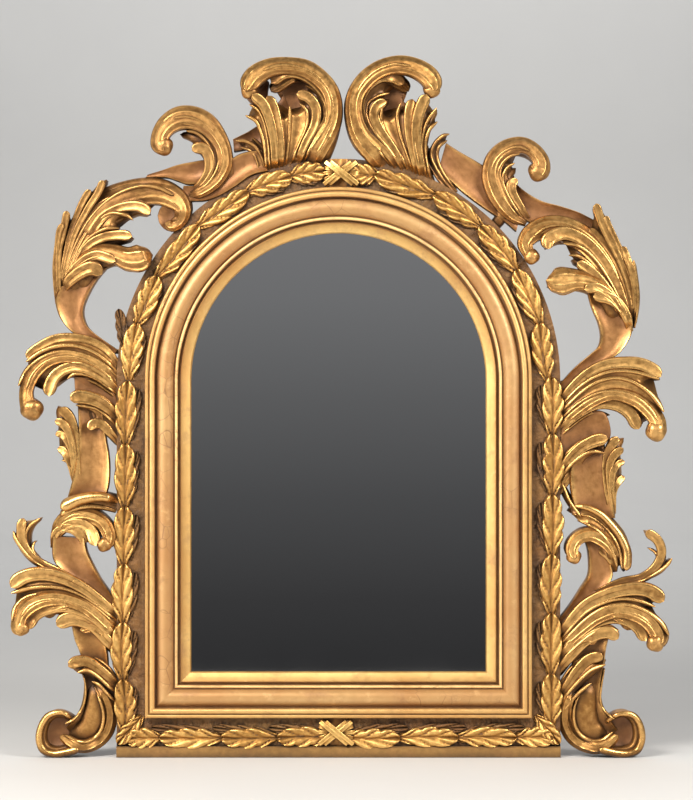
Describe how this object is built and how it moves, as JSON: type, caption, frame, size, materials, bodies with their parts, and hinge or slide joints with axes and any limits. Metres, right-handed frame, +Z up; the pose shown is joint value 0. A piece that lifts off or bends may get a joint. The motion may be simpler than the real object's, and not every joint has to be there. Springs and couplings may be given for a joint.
{
  "type": "giltwood mirror",
  "caption": "Arched wall mirror in a gilded frame with leaf garland mouldings and pierced carved scrolls and leaf sprays all round.",
  "frame": {"origin": "middle of the base board's bottom edge at the wall: the wall plane is y = 0 and the underside of the base is z = 0", "axes": "+X to the right as seen from behind the camera, +Y into the wall, +Z up; the glass faces -Y"},
  "size_m": [0.9239, 0.0662, 0.9776],
  "materials": {
    "pine": "sawn pine, aged",
    "gilt_board": "toned water gilding",
    "bright_gold": "burnished water gilding",
    "toned_gold": "satin gilding over red bole",
    "carved_gold": "gilding with dark patina in the hollows",
    "silvered_glass": "silvered plate glass, dimmed by age",
    "back_panel": "planed board, unfinished",
    "hardwood": "oiled beech",
    "steel": "dull",
    "brass": "dull",
    "brass_screw": "dull",
    "dowel": "plain"
  },
  "bodies": {
    "mirror": {"back_frame_left_stile": "pine", "back_frame_right_stile": "pine", "back_frame_bottom_rail": "pine", "back_frame_arch_left": "pine", "back_frame_arch_crown": "pine", "back_frame_arch_right": "pine", "base_board": "gilt_board", "slip_left": "bright_gold", "slip_right": "bright_gold", "slip_bottom": "bright_gold", "slip_arch": "bright_gold", "torus_left": "toned_gold", "torus_right": "toned_gold", "torus_bottom": "toned_gold", "torus_arch": "toned_gold", "bead_left": "bright_gold", "bead_right": "bright_gold", "bead_bottom": "bright_gold", "bead_arch": "bright_gold", "garland_left": "carved_gold", "garland_right": "carved_gold", "garland_arch_left": "carved_gold", "garland_arch_right": "carved_gold", "garland_bottom_left": "carved_gold", "garland_bottom_right": "carved_gold", "ribbon_tie_top": "carved_gold", "ribbon_tie_bottom": "carved_gold", "mirror_plate": "silvered_glass", "plate_blocks": "pine", "backboard": "back_panel", "turn_button_screws": "steel", "hanger_strap_left": "brass", "hanger_strap_right": "brass", "hanger_screws": "brass_screw", "foot_scroll_left": "carved_gold", "foot_scroll_right": "carved_gold", "lower_leaf_left": "carved_gold", "lower_leaf_right": "carved_gold", "mid_band_left": "carved_gold", "mid_band_right": "carved_gold", "mid_leaf_left": "carved_gold", "mid_leaf_right": "carved_gold", "upper_leaf_left": "carved_gold", "upper_leaf_right": "carved_gold", "shoulder_scroll_left": "carved_gold", "shoulder_scroll_right": "carved_gold", "crest_scroll_left": "carved_gold", "crest_scroll_right": "carved_gold", "carving_dowels": "dowel", "frame_dowels": "dowel"},
    "button_1": {"turn_button_1": "hardwood"},
    "button_2": {"turn_button_2": "hardwood"},
    "button_3": {"turn_button_3": "hardwood"},
    "button_4": {"turn_button_4": "hardwood"},
    "button_5": {"turn_button_5": "hardwood"},
    "button_6": {"turn_button_6": "hardwood"},
    "ring_left": {"hanger_ring_left": "brass"},
    "ring_right": {"hanger_ring_right": "brass"}
  },
  "joints": [
    {"name": "turn_button_1_swivel", "type": "hinge", "parent": "mirror", "child": "button_1", "pos_m": [-0.18079, -0.0105, 0.6777], "axis": [0, 1, 0], "range_deg": [-90, 90]},
    {"name": "turn_button_2_swivel", "type": "hinge", "parent": "mirror", "child": "button_2", "pos_m": [0.18079, -0.0105, 0.6777], "axis": [0, 1, 0], "range_deg": [-90, 90]},
    {"name": "turn_button_3_swivel", "type": "hinge", "parent": "mirror", "child": "button_3", "pos_m": [-0.236, -0.0105, 0.27489], "axis": [0, 1, 0], "range_deg": [-90, 90]},
    {"name": "turn_button_4_swivel", "type": "hinge", "parent": "mirror", "child": "button_4", "pos_m": [0.236, -0.0105, 0.27489], "axis": [0, 1, 0], "range_deg": [-90, 90]},
    {"name": "turn_button_5_swivel", "type": "hinge", "parent": "mirror", "child": "button_5", "pos_m": [-0.09587, -0.0105, 0.089], "axis": [0, 1, 0], "range_deg": [-90, 90]},
    {"name": "turn_button_6_swivel", "type": "hinge", "parent": "mirror", "child": "button_6", "pos_m": [0.09587, -0.0105, 0.089], "axis": [0, 1, 0], "range_deg": [-90, 90]},
    {"name": "ring_left_swing", "type": "hinge", "parent": "mirror", "child": "ring_left", "pos_m": [-0.284, -0.0054, 0.47], "axis": [1, 0, 0], "range_deg": [0, 178]},
    {"name": "ring_right_swing", "type": "hinge", "parent": "mirror", "child": "ring_right", "pos_m": [0.284, -0.0054, 0.47], "axis": [1, 0, 0], "range_deg": [0, 178]}
  ]
}
